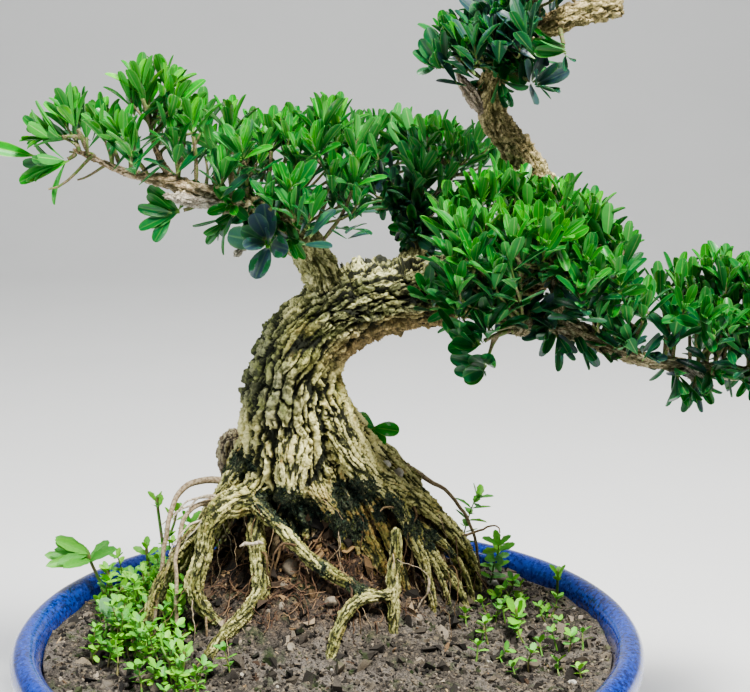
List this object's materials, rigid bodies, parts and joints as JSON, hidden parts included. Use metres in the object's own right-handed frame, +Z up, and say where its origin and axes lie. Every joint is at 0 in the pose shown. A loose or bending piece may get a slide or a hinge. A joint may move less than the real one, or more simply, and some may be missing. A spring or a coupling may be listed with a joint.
{
  "type": "boxwood bonsai",
  "caption": "Boxwood bonsai with a leaning, doubled-back trunk, spread branches with leafy pads and exposed roots over a soil mound, planted with small weeds in a round blue glazed pot.",
  "frame": {"origin": "centre of the flat underside of the pot's foot, where the pot rests", "axes": "+Z up along the pot's turning axis; +X towards the long low branch, on the right in the front view; +Y to the back"},
  "size_m": [0.4022, 0.303, 0.413],
  "materials": {
    "bark": "deeply fissured corky bark, cream to olive, with moss at the foot",
    "boxwood_leaf": "thick, half-glossy evergreen leaf, bright when new and dark blue-green when old",
    "weed_leaf": "soft matte light green leaf",
    "soil": "coarse crumbly potting soil with fine grit",
    "pot_glaze": "gloss cobalt glaze with faint speckle",
    "drain_screen": "black plastic net"
  },
  "bodies": {
    "root": {"wood": "bark", "soil": "soil", "pot": "pot_glaze", "drain_screen_left": "drain_screen", "drain_screen_right": "drain_screen", "spray_left_tip": "boxwood_leaf", "spray_left_end": "boxwood_leaf", "spray_left_rise": "boxwood_leaf", "spray_left_low": "boxwood_leaf", "spray_left_crest": "boxwood_leaf", "spray_left_hind": "boxwood_leaf", "spray_left_mid": "boxwood_leaf", "spray_left_shelf": "boxwood_leaf", "spray_left_front": "boxwood_leaf", "spray_left_inner": "boxwood_leaf", "spray_left_deep": "boxwood_leaf", "spray_left_near": "boxwood_leaf", "spray_left_skirt": "boxwood_leaf", "spray_left_corner": "boxwood_leaf", "spray_left_rosette": "boxwood_leaf", "spray_left_under": "boxwood_leaf", "spray_back_left": "boxwood_leaf", "spray_back_top": "boxwood_leaf", "spray_back_right": "boxwood_leaf", "spray_back_low": "boxwood_leaf", "spray_back_core": "boxwood_leaf", "spray_heart_west": "boxwood_leaf", "spray_heart_north": "boxwood_leaf", "spray_heart_front": "boxwood_leaf", "spray_heart_crest": "boxwood_leaf", "spray_heart_hind": "boxwood_leaf", "spray_heart_east": "boxwood_leaf", "spray_heart_slope": "boxwood_leaf", "spray_heart_end": "boxwood_leaf", "spray_heart_side": "boxwood_leaf", "spray_heart_drop": "boxwood_leaf", "spray_far_near": "boxwood_leaf", "spray_far_rise": "boxwood_leaf", "spray_far_crest": "boxwood_leaf", "spray_far_mid": "boxwood_leaf", "spray_far_out": "boxwood_leaf", "spray_far_tip": "boxwood_leaf", "spray_peak_west": "boxwood_leaf", "spray_peak_front": "boxwood_leaf", "spray_peak_mid": "boxwood_leaf", "spray_peak_low": "boxwood_leaf", "spray_peak_side": "boxwood_leaf", "spray_crown_west": "boxwood_leaf", "spray_crown_mid": "boxwood_leaf", "spray_crown_east": "boxwood_leaf", "spray_root_leaf": "boxwood_leaf", "weed_tall": "weed_leaf", "weed_creeper_left": "weed_leaf", "weed_creeper_rear": "weed_leaf", "weed_creeper_mid": "weed_leaf", "weed_creeper_front": "weed_leaf", "weed_sprig": "weed_leaf", "weed_round": "weed_leaf", "weed_right": "weed_leaf", "weed_rear_right": "weed_leaf"}
  },
  "joints": []
}
